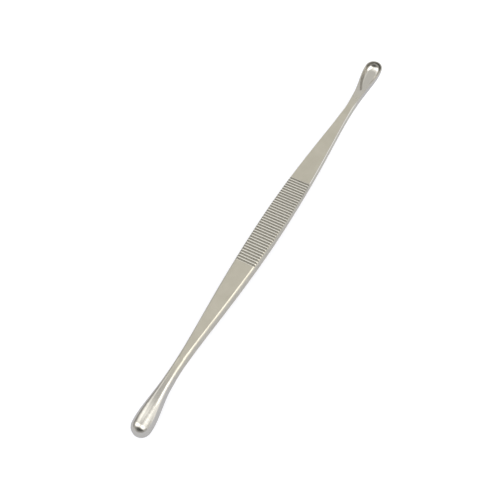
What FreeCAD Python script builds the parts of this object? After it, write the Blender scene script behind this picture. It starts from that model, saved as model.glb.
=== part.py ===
"""A double-ended spoon curette, forged and ground from one bar of stainless steel.

X runs along the instrument, Y across it and Z up, in millimetres, from the middle of the grip.
The spoon at the +X end opens upward. The spoon at the -X end is the same spoon after half a turn about
the Y axis, so it opens downward. The front of an arm is the side that its spoon opens to.
"""

import FreeCAD, Part
import Sketcher
import math
import os
import re

from FreeCAD import Placement, Rotation, Vector

os.makedirs("parts", exist_ok=True)
doc = FreeCAD.newDocument("spoon_curette")

# Driving dimensions
SIZES = (
    ("overall_length", 170.0, "tip to tip"),
    ("flat_thickness", 3.7, "between the ground flats of the handle"),
    ("forged_crown", 0.12, "what the forging stands proud of each flat before it is ground"),
    ("grip_half_width", 4.16, "middle of the grip"),
    ("grip_edge_radius", 0.8, "all four long edges at the middle of the grip"),
    ("front_edge_radius", 0.55, "long edges on the front of an arm"),
    ("back_edge_radius", 1.2, "long edges on the back of an arm"),
    ("shoulder_at", 20.0, "from the middle to where the grip starts to taper"),
    ("shoulder_half_width", 3.76, "handle at the end of the grip"),
    ("arm_from_wrist", 12.0, "from halfway down the taper to its thin end"),
    ("arm_half_width", 2.6, "handle halfway down the taper"),
    ("wrist_from_neck", 10.7, "from the thin end of the taper to the neck"),
    ("wrist_half_width", 1.78, "handle at the thin end of the taper"),
    ("neck_from_bend", 4.0, "from the neck to the bend of the spoon"),
    ("neck_half_width", 1.45, "narrowest place of the neck"),
    ("neck_back", 1.78, "axis to the back of the neck"),
    ("spoon_tilt", 8.5, "degrees that a spoon is bent to its front"),
    ("root_at", 4.0, "along the spoon from its bend to the root of the bowl"),
    ("root_half_width", 1.88, "spoon at its root"),
    ("root_back", 2.2, "spoon's axis to the back of its root"),
    ("cheek_at", 9.6, "along the spoon to the middle of its flare"),
    ("cheek_half_width", 2.75, "spoon in the middle of its flare"),
    ("bowl_at", 15.4, "along the spoon to the centre of the round end"),
    ("bowl_half_width", 3.16, "radius of the round end"),
    ("bowl_back", 2.45, "spoon's axis to the back of the bowl"),
    ("spine_half_width", 0.45, "flat left along the back, from the neck to the flare"),
    ("keel_half_width", 0.12, "flat left on the back of the round end"),
    ("rim_height", 1.5, "spoon's axis to the ground rim over the centre of the round end"),
    ("rim_tilt", 0.5, "degrees that the rim rises beyond the spoon's own tilt"),
    ("rim_allowance", 0.9, "what the forging stands proud of the rim before it is ground"),
    ("rim_corner_radius", 0.3, "front corners of the forged spoon, ground away with the allowance"),
    ("wall", 0.45, "between the hollow and the outside at the round end"),
    ("hollow_margin", 0.3, "from where the rim rises out of the flat to the point of the hollow"),
    ("hollow_side_radius", 22.0, "each side of the hollow, from its round end to its point"),
    ("hollow_depth", 2.2, "from the rim down to the floor of the hollow"),
    ("hollow_inset", 1.1, "what the hollow's sides come in from the rim to its floor"),
    ("hollow_setback", 1.6, "what the round end of the hollow comes in by beyond its sides"),
    ("serration_shift", 0.45, "from the middle of the grip to the middle of the serration"),
    ("groove_count", 36, "grooves across each face of the grip"),
    ("groove_pitch", 1.1, "middle of one groove to the next"),
    ("groove_half_width", 0.4, "at the ground flat"),
    ("groove_depth", 0.42, "below the ground flat"),
)
# How far the cutting outlines reach past the steel
CLEARANCE = 4.0

sheet = doc.addObject("Spreadsheet::Sheet", "sizes")
for row, (alias, value, note) in enumerate(SIZES, start=1):
    sheet.set(f"A{row}", alias)
    sheet.set(f"B{row}", str(value))
    sheet.set(f"C{row}", note)
    sheet.setAlias(f"B{row}", alias)
doc.recompute()
aliases = {alias for alias, value, note in SIZES}

# Places that follow from the driving dimensions
FLAT = "(flat_thickness / 2)"
FORGED = f"({FLAT} + forged_crown)"
TILT = "(spoon_tilt * 1 deg)"
RIM_ANGLE = "((spoon_tilt + rim_tilt) * 1 deg)"
SPOON_FRONT = "(rim_height + rim_allowance)"
NECK_BACK_RADIUS = "(neck_half_width - spine_half_width)"
ROOT_BACK_RADIUS = "(root_half_width - spine_half_width)"
CHEEK_BACK_RADIUS = "(cheek_half_width - spine_half_width)"
BOWL_BACK_RADIUS = "(bowl_half_width - keel_half_width)"
SPOON_REACH = (
    f"((bowl_at + keel_half_width) * cos({TILT}) + {BOWL_BACK_RADIUS}"
    f" + (bowl_back - {BOWL_BACK_RADIUS}) * sin({TILT}))"
)
BEND_AT = f"(overall_length / 2 - {SPOON_REACH})"
NECK_AT = f"({BEND_AT} - neck_from_bend)"
WRIST_AT = f"({NECK_AT} - wrist_from_neck)"
ARM_AT = f"({WRIST_AT} - arm_from_wrist)"
BOWL_X = f"({BEND_AT} + bowl_at * cos({TILT}))"
BOWL_Z = f"(bowl_at * sin({TILT}))"
RIM_X = f"({BOWL_X} - rim_height * sin({TILT}))"
RIM_Z = f"({BOWL_Z} + rim_height * cos({TILT}))"
RIM_START = f"({RIM_X} - ({RIM_Z} - {FLAT}) / tan({RIM_ANGLE}))"
HOLLOW_RADIUS = "(bowl_half_width - wall)"
HOLLOW_REACH = f"(({RIM_X} - {RIM_START}) / cos({RIM_ANGLE}) - hollow_margin)"
SERRATION_LENGTH = "(groove_pitch * (groove_count - 1))"
FIRST_GROOVE = f"(serration_shift - {SERRATION_LENGTH} / 2)"


def cells(formula):
    """The formula with the name of each size turned into a reference to its cell."""
    return re.sub(r"[a-z_]+", lambda word: f"sizes.{word[0]}" if word[0] in aliases else word[0], formula)


def worth(formula):
    """What a formula comes to now, in millimetres or degrees."""
    result = sheet.evalExpression(cells(formula))
    return float(getattr(result, "Value", result))


body = doc.addObject("PartDesign::Body", "curette")
body.Label = "curette"
body.Placement = Placement()


def origin_part(role):
    """The plane or axis of the body's origin that has this role."""
    return next(part for part in body.Origin.OriginFeatures if part.Role == role)


def sketch_on(role, name, right="0", up="0", out="0", turn="0", turn_axis=Vector(0, 0, 1)):
    """A sketch on an origin plane, moved by formulas in the plane's own directions and then turned."""
    sketch = body.newObject("Sketcher::SketchObject", name)
    sketch.AttachmentSupport = (origin_part(role), [""])
    sketch.MapMode = "FlatFace"
    place = Vector(worth(right), worth(up), worth(out))
    sketch.AttachmentOffset = Placement(place, Rotation(turn_axis, worth(turn)))
    for direction, formula in zip("xyz", (right, up, out)):
        sketch.setExpression(f".AttachmentOffset.Base.{direction}", cells(formula))
    if turn != "0":
        sketch.setExpression(".AttachmentOffset.Rotation.Angle", cells(turn))
    return sketch


def line(x1, y1, x2, y2):
    return Part.LineSegment(Vector(x1, y1, 0), Vector(x2, y2, 0))


def arc(x, y, radius, first_quarter, last_quarter):
    """An arc about (x, y), from and to angles counted in quarter turns."""
    circle = Part.Circle(Vector(x, y, 0), Vector(0, 0, 1), radius)
    return Part.ArcOfCircle(circle, first_quarter * math.pi / 2, last_quarter * math.pi / 2)


def rule(sketch, kind, *where):
    sketch.addConstraint(Sketcher.Constraint(kind, *where))


def hold(sketch, name, formula, kind, *where):
    """A named dimension of a sketch that follows a formula."""
    value = math.radians(worth(formula)) if kind == "Angle" else worth(formula)
    index = sketch.addConstraint(Sketcher.Constraint(kind, *where, value))
    sketch.renameConstraint(index, name)
    sketch.setExpression(f"Constraints.{name}", cells(formula))


def settled(feature, before):
    """Recomputes up to a feature, checks it and returns its volume, which has to have changed."""
    body.Tip = feature
    doc.recompute()
    assert not {"Invalid", "Error"} & set(feature.State), f"{feature.Name} failed"
    volume = feature.Shape.Volume
    assert abs(volume - before) > 0.1, f"{feature.Name} changes nothing"
    print(f"{feature.Name}: {volume:.1f} mm3")
    return volume


# The two sides of a section: how far each stands from the axis, and the radius of its corners
HANDLE_FRONT = (FORGED, "front_edge_radius")
HANDLE_BACK = (FORGED, "back_edge_radius")
SPOON_RIM = (SPOON_FRONT, "rim_corner_radius")
# The forging's sections from the grip to the centre of the bowl's round end: whether a section follows the
# bent spoon, how far along it stands, its half width, its front and its back
ARM_SECTIONS = (
    ("shoulder", False, "shoulder_at", "shoulder_half_width", HANDLE_FRONT, HANDLE_BACK),
    ("arm", False, ARM_AT, "arm_half_width", HANDLE_FRONT, HANDLE_BACK),
    ("wrist", False, WRIST_AT, "wrist_half_width", HANDLE_FRONT, HANDLE_BACK),
    ("neck", False, NECK_AT, "neck_half_width", HANDLE_FRONT, ("neck_back", NECK_BACK_RADIUS)),
    ("root", True, "root_at", "root_half_width", SPOON_RIM, ("root_back", ROOT_BACK_RADIUS)),
    ("cheek", True, "cheek_at", "cheek_half_width", SPOON_RIM, ("bowl_back", CHEEK_BACK_RADIUS)),
    ("bowl", True, "bowl_at", "bowl_half_width", SPOON_RIM, ("bowl_back", BOWL_BACK_RADIUS)),
)
GRIP_SIDE = (FORGED, "grip_edge_radius")


def forging_section(end, name, bent, along, half_width, front, back):
    """A rectangle with rounded corners, square to the arm: end is 1 for the +X arm and -1 for the other."""
    if bent:
        turn, up = TILT, f"{end} * {along} * sin({TILT})"
        out = f"{end} * ({BEND_AT} + {along} * cos({TILT}))"
    else:
        turn, up, out = "0", "0", f"{end} * {along}"
    forward = Vector(-1, 0, 0)
    sketch = sketch_on("YZ_Plane", f"{name}_section", up=up, out=out, turn=turn, turn_axis=forward)
    (top_at, top_radius), (bottom_at, bottom_radius) = (front, back) if end > 0 else (back, front)
    wide, top, bottom = worth(half_width), worth(top_at), -worth(bottom_at)
    high, low = worth(top_radius), worth(bottom_radius)
    sketch.addGeometry([
        line(high - wide, top, wide - high, top),
        arc(wide - high, top - high, high, 0, 1),
        line(wide, top - high, wide, bottom + low),
        arc(wide - low, bottom + low, low, 3, 4),
        line(wide - low, bottom, low - wide, bottom),
        arc(low - wide, bottom + low, low, 2, 3),
        line(-wide, bottom + low, -wide, top - high),
        arc(high - wide, top - high, high, 1, 2),
    ])
    for edge in (0, 2, 4, 6):
        rule(sketch, "Tangent", edge, 2, edge + 1, 2)
        rule(sketch, "Tangent", edge + 1, 1, (edge + 2) % 8, 1)
    for edge in (0, 4):
        rule(sketch, "Horizontal", edge)
        rule(sketch, "Vertical", edge + 2)
    rule(sketch, "Equal", 1, 7)
    rule(sketch, "Equal", 3, 5)
    hold(sketch, "half_width", half_width, "DistanceX", -1, 1, 2, 1)
    hold(sketch, "other_half_width", half_width, "DistanceX", 6, 1, -1, 1)
    hold(sketch, "top", top_at, "DistanceY", -1, 1, 0, 1)
    hold(sketch, "bottom", bottom_at, "DistanceY", 4, 1, -1, 1)
    hold(sketch, "top_radius", top_radius, "Radius", 1)
    hold(sketch, "bottom_radius", bottom_radius, "Radius", 3)
    return sketch


# The forging is one smooth loft from bowl to bowl
lower_arm = [forging_section(-1, f"lower_{name}", *place) for name, *place in reversed(ARM_SECTIONS)]
grip = forging_section(1, "grip", False, "0", "grip_half_width", GRIP_SIDE, GRIP_SIDE)
upper_arm = [forging_section(1, f"upper_{name}", *place) for name, *place in ARM_SECTIONS]
forging = body.newObject("PartDesign::AdditiveLoft", "forging")
forging.Profile = lower_arm[0]
forging.Sections = lower_arm[1:] + [grip] + upper_arm
volume = settled(forging, before=0)

# The round end of a bowl is half of its last section, turned about the upright line through its centre
end_profile = sketch_on("XZ_Plane", "round_end_profile", right=BOWL_X, up=BOWL_Z, turn=TILT)
wide, top, bottom = worth("bowl_half_width"), worth(SPOON_FRONT), -worth("bowl_back")
high, low = worth("rim_corner_radius"), worth(BOWL_BACK_RADIUS)
end_profile.addGeometry([
    line(0, top, wide - high, top),
    arc(wide - high, top - high, high, 0, 1),
    line(wide, top - high, wide, bottom + low),
    arc(wide - low, bottom + low, low, 3, 4),
    line(wide - low, bottom, 0, bottom),
    line(0, bottom, 0, top),
])
for edge in (0, 2):
    rule(end_profile, "Tangent", edge, 2, edge + 1, 2)
    rule(end_profile, "Tangent", edge + 1, 1, edge + 2, 1)
rule(end_profile, "Coincident", 4, 2, 5, 1)
rule(end_profile, "Coincident", 5, 2, 0, 1)
rule(end_profile, "Horizontal", 0)
rule(end_profile, "Vertical", 2)
rule(end_profile, "Horizontal", 4)
rule(end_profile, "PointOnObject", 0, 1, -2)
rule(end_profile, "PointOnObject", 4, 2, -2)
hold(end_profile, "half_width", "bowl_half_width", "DistanceX", -1, 1, 2, 1)
hold(end_profile, "front", SPOON_FRONT, "DistanceY", -1, 1, 0, 1)
hold(end_profile, "back", "bowl_back", "DistanceY", 4, 2, -1, 1)
hold(end_profile, "front_radius", "rim_corner_radius", "Radius", 1)
hold(end_profile, "back_radius", BOWL_BACK_RADIUS, "Radius", 3)
round_end = body.newObject("PartDesign::Revolution", "round_end")
round_end.Profile = end_profile
round_end.ReferenceAxis = (end_profile, ["V_Axis"])
round_end.Angle = 180
round_end.Midplane = True
volume = settled(round_end, before=volume)

# A face is ground flat along the handle, and then up the rim of the spoon that opens to that side
FAR = f"(overall_length / 2 + {CLEARANCE})"
HIGH = f"({FLAT} + 2 * {CLEARANCE})"
ground_outline = sketch_on("XZ_Plane", "ground_outline")
flat, rim_start, far, high = worth(FLAT), worth(RIM_START), worth(FAR), worth(HIGH)
rim_end = flat + (far - rim_start) * math.tan(math.radians(worth(RIM_ANGLE)))
corners = ((-far, flat), (rim_start, flat), (far, rim_end), (far, high), (-far, high))
for here, there in zip(corners, corners[1:] + corners[:1]):
    ground_outline.addGeometry(line(*here, *there))
for edge in range(len(corners)):
    rule(ground_outline, "Coincident", edge, 2, (edge + 1) % len(corners), 1)
for edge in (0, 3):
    rule(ground_outline, "Horizontal", edge)
for edge in (2, 4):
    rule(ground_outline, "Vertical", edge)
hold(ground_outline, "lower_end", FAR, "DistanceX", 0, 1, -1, 1)
hold(ground_outline, "upper_end", FAR, "DistanceX", -1, 1, 2, 1)
hold(ground_outline, "flat", FLAT, "DistanceY", -1, 1, 0, 1)
hold(ground_outline, "high", HIGH, "DistanceY", -1, 1, 3, 1)
hold(ground_outline, "rim_start", RIM_START, "DistanceX", -1, 1, 0, 2)
hold(ground_outline, "rim_angle", RIM_ANGLE, "Angle", 1)
ground_face = body.newObject("PartDesign::Pocket", "ground_face")
ground_face.Profile = ground_outline
ground_face.Type = "ThroughAll"
ground_face.SideType = "Symmetric"
volume = settled(ground_face, before=volume)


def hollow_section(name, depth, inset, setback):
    """The hollow's outline at a depth below the rim: a drop, round at the spoon's end and pointed behind."""
    right = f"{RIM_X} + {depth} * sin({RIM_ANGLE})"
    out = f"{RIM_Z} - {depth} * cos({RIM_ANGLE})"
    upward = Vector(0, -1, 0)
    sketch = sketch_on("XY_Plane", f"hollow_{name}", right=right, out=out, turn=RIM_ANGLE, turn_axis=upward)
    head_radius, side_radius = f"{HOLLOW_RADIUS} - {inset}", f"hollow_side_radius - {inset}"
    reach = f"{HOLLOW_REACH} - 2 * {inset}"
    head, side, centre, point = (worth(size) for size in (head_radius, side_radius, setback, reach))
    # Each side's centre, seen from the point of the drop, and the direction in which it meets the round end
    span = point - centre
    sight = math.acos((span ** 2 + 2 * side * head - head ** 2) / (2 * side * span))
    side_x, side_y = side * math.cos(sight) - point, side * math.sin(sight)
    meeting = math.atan2(side_y, -centre - side_x) / (math.pi / 2)
    tip = 2 - sight / (math.pi / 2)
    sketch.addGeometry([
        arc(side_x, -side_y, side, meeting, tip),
        arc(-centre, 0, head, -meeting, meeting),
        arc(side_x, side_y, side, -tip, -meeting),
    ])
    rule(sketch, "Tangent", 1, 2, 0, 1)
    rule(sketch, "Tangent", 2, 2, 1, 1)
    rule(sketch, "Coincident", 0, 2, 2, 1)
    rule(sketch, "PointOnObject", 0, 2, -1)
    rule(sketch, "PointOnObject", 1, 3, -1)
    rule(sketch, "Equal", 0, 2)
    hold(sketch, "side_radius", side_radius, "Radius", 0)
    hold(sketch, "head_radius", head_radius, "Radius", 1)
    hold(sketch, "setback", setback, "DistanceX", 1, 3, -1, 1)
    hold(sketch, "reach", reach, "DistanceX", 0, 2, -1, 1)
    return sketch


# From the mouth to the floor the outline comes in as along a quarter of an ellipse
mouth = hollow_section("mouth", "(-0.4 * hollow_depth)", "0", "0")
hollow_steps = [
    hollow_section(
        f"step_{angle}",
        f"(hollow_depth * sin({angle} deg))",
        f"(hollow_inset * (1 - cos({angle} deg)))",
        f"(hollow_setback * (1 - cos({angle} deg)))",
    )
    for angle in (45, 90)
]
hollow = body.newObject("PartDesign::SubtractiveLoft", "hollow")
hollow.Profile = mouth
hollow.Sections = hollow_steps
volume = settled(hollow, before=volume)

# Half a turn about the Y axis gives the other spoon and the other ground face
lower_spoon = body.newObject("PartDesign::PolarPattern", "lower_spoon")
lower_spoon.Originals = [round_end, ground_face, hollow]
lower_spoon.Axis = (origin_part("Y_Axis"), [""])
lower_spoon.Angle = 360
lower_spoon.Occurrences = 2
volume = settled(lower_spoon, before=volume)

# One pair of grip grooves, straight across the upper and the lower face
groove_outline = sketch_on("XZ_Plane", "groove_outline")
first, half_mouth, depth = worth(FIRST_GROOVE), worth("2 * groove_half_width"), worth("groove_depth")
for side in (1, -1):
    mouth, floor = side * (flat + depth), side * (flat - depth)
    corners = ((first - half_mouth, mouth), (first, floor), (first + half_mouth, mouth))
    for here, there in zip(corners, corners[1:] + corners[:1]):
        groove_outline.addGeometry(line(*here, *there))
for edge, following in ((0, 1), (1, 2), (2, 0), (3, 4), (4, 5), (5, 3)):
    rule(groove_outline, "Coincident", edge, 2, following, 1)
for edge in range(3):
    rule(groove_outline, "Symmetric", edge, 1, edge + 3, 1, -1)
rule(groove_outline, "Horizontal", 2)
hold(groove_outline, "first", f"-{FIRST_GROOVE}", "DistanceX", 0, 2, -1, 1)
hold(groove_outline, "floor", f"{FLAT} - groove_depth", "DistanceY", -1, 1, 0, 2)
hold(groove_outline, "mouth_height", f"{FLAT} + groove_depth", "DistanceY", -1, 1, 0, 1)
hold(groove_outline, "half_mouth", "2 * groove_half_width", "DistanceX", 0, 1, 0, 2)
hold(groove_outline, "mouth", "4 * groove_half_width", "DistanceX", 0, 1, 1, 2)
groove = body.newObject("PartDesign::Pocket", "groove")
groove.Profile = groove_outline
groove.Type = "ThroughAll"
groove.SideType = "Symmetric"
volume = settled(groove, before=volume)

# The serration repeats the pair along the grip
serration = body.newObject("PartDesign::LinearPattern", "serration")
serration.Originals = [groove]
serration.Direction = (origin_part("X_Axis"), [""])
serration.setExpression("Length", cells(SERRATION_LENGTH))
serration.setExpression("Occurrences", cells("groove_count"))
volume = settled(serration, before=volume)

for part in doc.Objects:
    assert not {"Invalid", "Error"} & set(part.State), f"{part.Name} failed"
curette = body.Shape
assert not curette.isNull() and curette.isValid() and len(curette.Solids) == 1, "not one sound solid"
curette.exportStep("parts/curette.step")
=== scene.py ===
# %% [markdown]
# This notebook dresses a double-ended spoon curette, a surgical hand tool: a flat steel bar with grooves
# across its grip, drawn out to two thin necks and two small spoons. The shape comes ready from the CAD
# part. What is left for Blender is what the eye reads as steel: the finish of each face, the light that
# it mirrors and the place of the camera.

# %% Load the packed part
import math

import bpy
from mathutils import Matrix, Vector


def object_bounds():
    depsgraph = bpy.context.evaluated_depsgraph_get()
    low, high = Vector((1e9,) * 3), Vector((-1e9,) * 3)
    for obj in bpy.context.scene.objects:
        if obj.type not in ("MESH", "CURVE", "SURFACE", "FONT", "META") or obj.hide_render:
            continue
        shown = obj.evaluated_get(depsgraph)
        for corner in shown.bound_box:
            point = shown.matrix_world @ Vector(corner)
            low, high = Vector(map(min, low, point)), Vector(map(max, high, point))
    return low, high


def in_millimetres(box):
    """The two corners of a box, rounded for reading."""
    return [[round(1000 * value, 2) for value in corner] for corner in box]


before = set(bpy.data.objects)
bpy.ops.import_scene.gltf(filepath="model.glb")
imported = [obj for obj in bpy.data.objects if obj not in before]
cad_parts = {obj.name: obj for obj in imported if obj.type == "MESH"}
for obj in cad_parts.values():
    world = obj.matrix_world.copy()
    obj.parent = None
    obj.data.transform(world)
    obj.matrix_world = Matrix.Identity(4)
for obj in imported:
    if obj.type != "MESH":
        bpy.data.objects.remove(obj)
cad_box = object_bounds()
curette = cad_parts["curette"]
print("CAD box in mm:", in_millimetres(cad_box))

# %% [markdown]
# A finish is a formula over the surface: here satin, there polished, with a painted shade in the grooves.
# Building it from nodes by hand hides the formula, so each socket is wrapped in a small class. Adding or
# multiplying two wrapped sockets then makes the Math node, and every other kind of node comes from one
# method.


# %% Sockets that can be added and multiplied
class Wire:
    """The output of a node, ready for arithmetic."""

    def __init__(self, bench, socket):
        self.bench = bench
        self.socket = socket

    def maths(self, operation, first, second=0.0):
        return self.bench.node("ShaderNodeMath", {"operation": operation}, {0: first, 1: second})

    def __add__(self, other):
        return self.maths("ADD", self, other)

    def __sub__(self, other):
        return self.maths("SUBTRACT", self, other)

    def __rsub__(self, other):
        return self.maths("SUBTRACT", other, self)

    def __mul__(self, other):
        return self.maths("MULTIPLY", self, other)

    def __abs__(self):
        return self.maths("ABSOLUTE", self)

    __radd__ = __add__
    __rmul__ = __mul__


print("a wire can do:", [name for name in vars(Wire) if callable(getattr(Wire, name))])

# %% [markdown]
# A material and the sky are both node trees, so one class can serve both. Its method `node` makes a node
# of any kind. The short methods after it are the ones that this notebook needs again and again: one axis
# of a vector, a soft step, several soft steps at once, and a mix of two colours. The steps are soft
# because real finishes run into each other, and because a hard border looks jagged where it is thinner
# than a pixel.


# %% The bench
class Bench:
    """The node tree of a material or of the world."""

    def __init__(self, owner):
        owner.use_nodes = True
        self.tree = owner.node_tree
        self.tree.nodes.clear()

    def node(self, kind, settings=None, sockets=None, output=0):
        """Adds a node, makes its settings, fills or links its sockets, and returns one of its outputs."""
        made = self.tree.nodes.new(kind)
        for name, value in (settings or {}).items():
            setattr(made, name, value)
        for name, value in (sockets or {}).items():
            if isinstance(value, Wire):
                self.tree.links.new(value.socket, made.inputs[name])
            else:
                made.inputs[name].default_value = value
        return Wire(self, made.outputs[output]) if made.outputs else made

    def axis(self, vector, letter):
        """One component of a vector."""
        return self.node("ShaderNodeSeparateXYZ", sockets={0: vector}, output=letter)

    def between(self, value, start, end):
        """Goes smoothly from 0 at start to 1 at end."""
        settings = {"interpolation_type": "SMOOTHSTEP"}
        sockets = {"Value": value, "From Min": start, "From Max": end}
        return self.node("ShaderNodeMapRange", settings, sockets)

    def within(self, *borders):
        """Is 1 inside all borders, each given as a value with its start and end."""
        first, *others = [self.between(*border) for border in borders]
        return math.prod(others, start=first)

    def blend(self, share, first, second):
        """A mix of two colours."""
        settings = {"data_type": "RGBA"}
        return self.node("ShaderNodeMix", settings, {"Factor": share, 6: first, 7: second}, output=2)


print("a bench can do:", [name for name in vars(Bench) if callable(getattr(Bench, name))])

# %% [markdown]
# The bar is stainless steel. Its long faces have an even satin, its spoons are polished smoother, and its
# grip is cut with grooves. This could be one material for each finish, but then every border between them
# needs an edge in the mesh. One material with masks is simpler: Object coordinates give the place on the
# tool in metres, and the normal tells a face from a side.

# %% Masks along the tool
SERRATION_START = -0.0193
SERRATION_END = 0.0202
SERRATION_BORDER = 0.00005
FACE_NOT_SIDE = (0.75, 0.45)
NECK_MIDDLE = 0.060
POLISH_FULL = 0.072

steel = bpy.data.materials.new("satin_steel")
bench = Bench(steel)
place = bench.node("ShaderNodeTexCoord", output="Object")
along = bench.axis(place, "X")
height = bench.axis(place, "Z")
facing = bench.node("ShaderNodeTexCoord", output="Normal")
sideways = bench.axis(facing, "Y")
upright = bench.axis(facing, "Z")

in_grip = bench.within(
    (abs(sideways), *FACE_NOT_SIDE),
    (along, SERRATION_START - SERRATION_BORDER, SERRATION_START + SERRATION_BORDER),
    (along, SERRATION_END + SERRATION_BORDER, SERRATION_END - SERRATION_BORDER),
)
polished = bench.between(abs(along), NECK_MIDDLE, POLISH_FULL)
print("serration in mm:", round(1000 * (SERRATION_END - SERRATION_START), 1))

# %% [markdown]
# On the real tool, the crests between the grooves and the long front edges of the arms are bright lines,
# because rounded steel catches light from many sides. The crests of this part are flat and its edges
# narrow, so they would stay darker. Rounding them in the CAD part would cost many faces, so these bright
# lines are painted highlights instead: masks of their own give them a lighter colour. The front is the
# side that a spoon opens to, which is up at one end and down at the other, so height times place along
# the tool is positive there at both ends.

# %% Masks across the tool
FLAT_HEIGHT = 0.00185
GROOVE_TOP = FLAT_HEIGHT - 0.00017
GROOVE_FLOOR = FLAT_HEIGHT - 0.00029
CREST_LEVEL = (0.80, 0.95)
EDGE_NOT_FLAT = (0.92, 0.84)
EDGE_NOT_SIDE = (0.20, 0.50)
FRONT_NOT_BACK = (0.00001, 0.00002)
EDGE_START = SERRATION_END + 0.0005
EDGE_END = NECK_MIDDLE + 0.010

# Painted highlight: the flat crests between the grooves get a lighter colour in place of the light that
# rounded crests would catch
crest_highlight = in_grip * bench.between(abs(upright), *CREST_LEVEL)
# Painted shade: the deep part of each groove gets a darker colour in place of the shade that falls into it
groove_shade = in_grip * bench.between(abs(height), GROOVE_TOP, GROOVE_FLOOR)
# Painted highlight: a narrow band on the long front edges of the arms gets a lighter colour, a bright line
# in place of light caught by the edge
front_edge_highlight = bench.within(
    (abs(upright), *EDGE_NOT_FLAT),
    (abs(upright), *EDGE_NOT_SIDE),
    (height * along, *FRONT_NOT_BACK),
    (abs(along), SERRATION_END, EDGE_START),
    (abs(along), EDGE_END, NECK_MIDDLE),
)
print("nodes for the masks:", len(bench.tree.nodes))

# %% [markdown]
# The satin is a warm grey that varies a little from place to place, which a soft noise gives, and the
# polished ends are more neutral. The masks lay one tone over the other, the widest first: over these come
# a painted highlight on the crests and front edges and a painted shade in the grooves. A photograph of
# steel could be wrapped round the tool instead, but it would stretch over the spoons and blur up close.

# %% Tones, from the widest to the narrowest
SATIN_DARK = (0.54, 0.517, 0.44, 1.0)
SATIN_LIGHT = (0.66, 0.632, 0.556, 1.0)
POLISHED_TONE = (0.60, 0.585, 0.552, 1.0)
# The colour of the painted highlights on the crests and the front edges
PAINTED_HIGHLIGHT_TONE = (0.96, 0.94, 0.89, 1.0)
# The colour of the painted shade in the grooves
GROOVE_SHADE_TONE = (0.45, 0.445, 0.425, 1.0)
CLOUD_SCALE = 240.0
NOISE_DETAIL = 3.0

clouds = {"Vector": place, "Scale": CLOUD_SCALE, "Detail": NOISE_DETAIL}
satin_tone = bench.blend(bench.node("ShaderNodeTexNoise", sockets=clouds), SATIN_DARK, SATIN_LIGHT)
bar_tone = bench.blend(polished, satin_tone, POLISHED_TONE)
# Painted highlight on the crests of the grip
crest_highlight_tone = bench.blend(crest_highlight, bar_tone, PAINTED_HIGHLIGHT_TONE)
# Painted shade in the grooves
grip_tone = bench.blend(groove_shade, crest_highlight_tone, GROOVE_SHADE_TONE)
# Painted highlight along the front edges of the arms
tone = bench.blend(front_edge_highlight, grip_tone, PAINTED_HIGHLIGHT_TONE)
print("nodes with the tones:", len(bench.tree.nodes))

# %% [markdown]
# A satin face is covered with fine scratches that run along the bar. They are too fine to model, so a
# noise that is stretched along X gives them, in the roughness and as a faint bump. The grooves need no
# bump, because they are cut in the solid. The spoons are less rough than the flats, so they mirror more
# sharply.

# %% The steel itself
GRAIN_ALONG = 300.0
GRAIN_ACROSS = 2600.0
GRAIN_BUMP = 0.06
GRAIN_DEPTH = 0.00005
SATIN_ROUGHNESS = 0.33
LESS_WHERE_POLISHED = 0.12
MORE_IN_GRAIN = 0.05
NOISE_MIDDLE = 0.5

grain_scale = (GRAIN_ALONG, GRAIN_ACROSS, GRAIN_ACROSS)
stretched = bench.node("ShaderNodeMapping", sockets={"Vector": place, "Scale": grain_scale})
scratches = {"Vector": stretched, "Scale": 1.0, "Detail": NOISE_DETAIL}
grain = bench.node("ShaderNodeTexNoise", sockets=scratches)
roughness = SATIN_ROUGHNESS - LESS_WHERE_POLISHED * polished + MORE_IN_GRAIN * (grain - NOISE_MIDDLE)
grain_relief = {"Height": grain, "Strength": GRAIN_BUMP, "Distance": GRAIN_DEPTH}
fine_bump = bench.node("ShaderNodeBump", sockets=grain_relief)
finish = {"Base Color": tone, "Metallic": 1.0, "Roughness": roughness, "Normal": fine_bump}
surface = bench.node("ShaderNodeBsdfPrincipled", sockets=finish)
bench.node("ShaderNodeOutputMaterial", sockets={"Surface": surface})
curette.material_slots[0].material = steel
print("steel nodes:", len(bench.tree.nodes))

# %% [markdown]
# The tool lies on a white table that runs out of the picture on all sides. Strong lamps could make it
# white, but they would burn out the steel as well. So its colour is a grey that takes the shadow of the
# tool, and a glow that only the camera and the reflections in the steel see makes it white.

# %% A white table
TABLE_SIZE = 6.0
TABLE_GAP = 0.00002
TABLE_TONE = (0.44, 0.45, 0.50, 1.0)
TABLE_GLOW_SEEN = 0.64
TABLE_GLOW_MIRRORED = 0.28
WHITE = (1.0, 1.0, 1.0, 1.0)

table_height = cad_box[0].z - TABLE_GAP
bpy.ops.object.select_all(action="DESELECT")
bpy.ops.mesh.primitive_plane_add(size=TABLE_SIZE, location=(0.0, 0.0, table_height))
table = bpy.context.object
table.name = "table"

table_white = bpy.data.materials.new("white_table")
bench = Bench(table_white)
to_camera = bench.node("ShaderNodeLightPath", output="Is Camera Ray")
to_metal = bench.node("ShaderNodeLightPath", output="Is Glossy Ray")
glow_strength = TABLE_GLOW_SEEN * to_camera + TABLE_GLOW_MIRRORED * to_metal
lit = bench.node("ShaderNodeBsdfDiffuse", sockets={"Color": TABLE_TONE})
glow = bench.node("ShaderNodeEmission", sockets={"Color": WHITE, "Strength": glow_strength})
both = bench.node("ShaderNodeAddShader", sockets={0: lit, 1: glow})
bench.node("ShaderNodeOutputMaterial", sockets={"Surface": both})
table.data.materials.append(table_white)
print("table height in mm:", round(1000 * table_height, 3))

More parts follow.
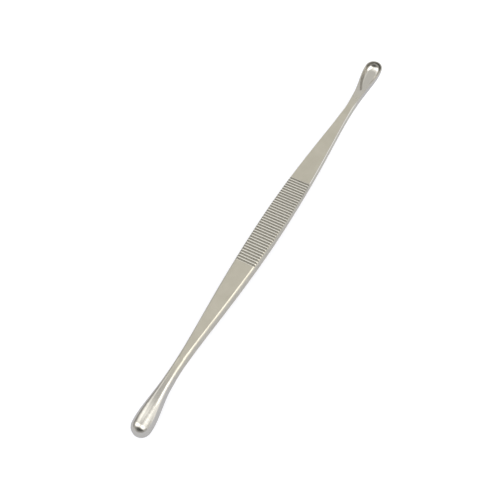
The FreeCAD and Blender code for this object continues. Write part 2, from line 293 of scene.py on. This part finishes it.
# %% [markdown]
# Steel shows little but its surroundings, so the room is part of the finish. A photographer hangs white
# sheets and black cards round a tool until every face has a light and a dark side, and here the sky does
# the same. Each sheet is a patch of directions, and a direction is told by how far it points along X, Y
# and up. A picture of a studio would do as well, but a patch can be moved by changing a number. The near
# end of the tool is the one at low X, and Y grows to the left of the camera.

# %% Sheets of light in the sky
SLOT_HALF_WIDTH = (0.04, 0.20)
SLOT_LIGHT = 0.44

world = bpy.data.worlds.new("studio")
bpy.context.scene.world = world
bench = Bench(world)
direction = bench.node("ShaderNodeTexCoord", output="Generated")
far = bench.axis(direction, "X")
left = bench.axis(direction, "Y")
up = bench.axis(direction, "Z")

# Lights the back of the near spoon, part of the far hollow and one wall of each groove. Without its darker
# slot, the rim and the flats would vanish in the white of the table when seen from above
near_ceiling = bench.within((far, 0.15, -0.14), (up, 0.35, 0.62))
outside_slot = bench.between(abs(left), *SLOT_HALF_WIDTH)
slotted_ceiling = near_ceiling * (SLOT_LIGHT + (1 - SLOT_LIGHT) * outside_slot)
# Lies where the long flats mirror it
far_ceiling = bench.within((far, 0.20, 0.50), (left, -0.10, 0.15))
# Draw a light line on the near neck, and a dark one along the left side of the near arm
high_left = bench.within((left, 0.40, 0.52), (up, 0.58, 0.72))
low_left = bench.within((left, 0.40, 0.60), (up, 0.60, 0.40))
# Light the left wall of the far hollow, and the right side of the near arm and neck
high_right = bench.within((left, -0.20, -0.36), (left, -0.64, -0.50), (up, 0.45, 0.60))
low_right = bench.within((left, -0.45, -0.75), (far, 0.55, 0.35), (far, 0.0, 0.2))
print("nodes for the sheets:", len(bench.tree.nodes))

# %% [markdown]
# The sheets are added to the even grey of the room. Behind the camera the room is nearly dark, and the
# tips of the spoons and the groove walls that face the camera mirror that. Only the camera sees the sky
# as white, so a low view has a white background too.

# %% The sky
LIGHT_TONE = (1.0, 0.985, 0.94, 1.0)
ROOM = 0.61
CEILING_GLOW = 1.65
FAR_CEILING_GLOW = 0.19
HIGH_LEFT_GLOW = 0.52
LOW_LEFT_SHADE = 0.20
HIGH_RIGHT_GLOW = 0.38
LOW_RIGHT_GLOW = 0.75
DARK_ROOM = 0.10
DARK_ROOM_LEFT = 0.28
DARK_ROOM_HORIZON = 0.30
LEFT_OF_DARK_ROOM = (0.0, 0.6)
HORIZON = (0.40, 0.20)
PAST_CAMERA = (-0.62, -0.42)

overhead = ROOM + CEILING_GLOW * slotted_ceiling + FAR_CEILING_GLOW * far_ceiling
left_side = HIGH_LEFT_GLOW * high_left - LOW_LEFT_SHADE * low_left
right_side = LOW_RIGHT_GLOW * low_right + HIGH_RIGHT_GLOW * high_right
ahead = overhead + left_side + right_side
leftward = DARK_ROOM_LEFT * bench.between(left, *LEFT_OF_DARK_ROOM)
low_down = DARK_ROOM_HORIZON * bench.between(up, *HORIZON)
behind = DARK_ROOM + leftward + low_down
strength = behind + bench.between(far, *PAST_CAMERA) * (ahead - behind)

to_camera = bench.node("ShaderNodeLightPath", output="Is Camera Ray")
sky_tone = bench.blend(to_camera, LIGHT_TONE, WHITE)
sky_strength = strength + to_camera * (1 - strength)
sky = bench.node("ShaderNodeBackground", sockets={"Color": sky_tone, "Strength": sky_strength})
bench.node("ShaderNodeOutputWorld", sockets={"Surface": sky})
print("sky nodes:", len(bench.tree.nodes))

# %% [markdown]
# The bright line on the ridge of the near arm comes from a lamp. A patch of sky lies in the same direction
# from every point of the tool, but a lamp that stands close doesn't, so it can light one arm more than the
# other. Its power is worked out from a glow and the size of its face, so a larger face doesn't look
# brighter.

# %% The lamp at the right
SOFTBOX_GLOW = 1.3
SOFTBOX_WIDTH = 0.18
SOFTBOX_HEIGHT = 0.19
SOFTBOX_PLACE = Vector((0.06, -0.162, 0.184))
NEAR_ARM = Vector((-0.05, 0.0, 0.0))

bpy.ops.object.light_add(type="AREA", location=SOFTBOX_PLACE)
softbox = bpy.context.object
softbox.name = "right_softbox"
softbox.rotation_euler = (SOFTBOX_PLACE - NEAR_ARM).to_track_quat("Z", "Y").to_euler()
softbox.data.shape = "RECTANGLE"
softbox.data.size = SOFTBOX_WIDTH
softbox.data.size_y = SOFTBOX_HEIGHT
softbox.data.energy = SOFTBOX_GLOW * math.pi * SOFTBOX_WIDTH * SOFTBOX_HEIGHT
softbox.data.color = LIGHT_TONE[:3]
softbox.visible_camera = False
print("softbox power in W:", round(softbox.data.energy, 3))

# %% [markdown]
# The camera looks down on the tool from beyond its near end. It could be moved by eye until the picture
# looks right. Here its place was worked out from the outline of the tool in the photograph, as an angle
# round the table, an angle above it and a distance from a point near the grip, because these change one at
# a time.

# %% The camera
FOCUS = Vector((-0.01177, 0.00448, 0.0001))
CAMERA_AZIMUTH = math.radians(-151.06)
CAMERA_ELEVATION = math.radians(54.40)
CAMERA_DISTANCE = 0.29640
LENS = 66.07
CLIP_START = 0.01

back = Vector((
    math.cos(CAMERA_AZIMUTH) * math.cos(CAMERA_ELEVATION),
    math.sin(CAMERA_AZIMUTH) * math.cos(CAMERA_ELEVATION),
    math.sin(CAMERA_ELEVATION),
))
camera_place = FOCUS + back * CAMERA_DISTANCE
bpy.ops.object.camera_add(location=camera_place, rotation=back.to_track_quat("Z", "Y").to_euler())
camera = bpy.context.object
camera.data.lens = LENS
camera.data.clip_start = CLIP_START
bpy.context.scene.camera = camera
bpy.context.scene.view_settings.view_transform = "Standard"
print("camera in mm:", [round(1000 * value, 1) for value in camera_place])

# %% [markdown]
# Dressing the tool must not change its size. The box at loading is printed when the part is loaded.
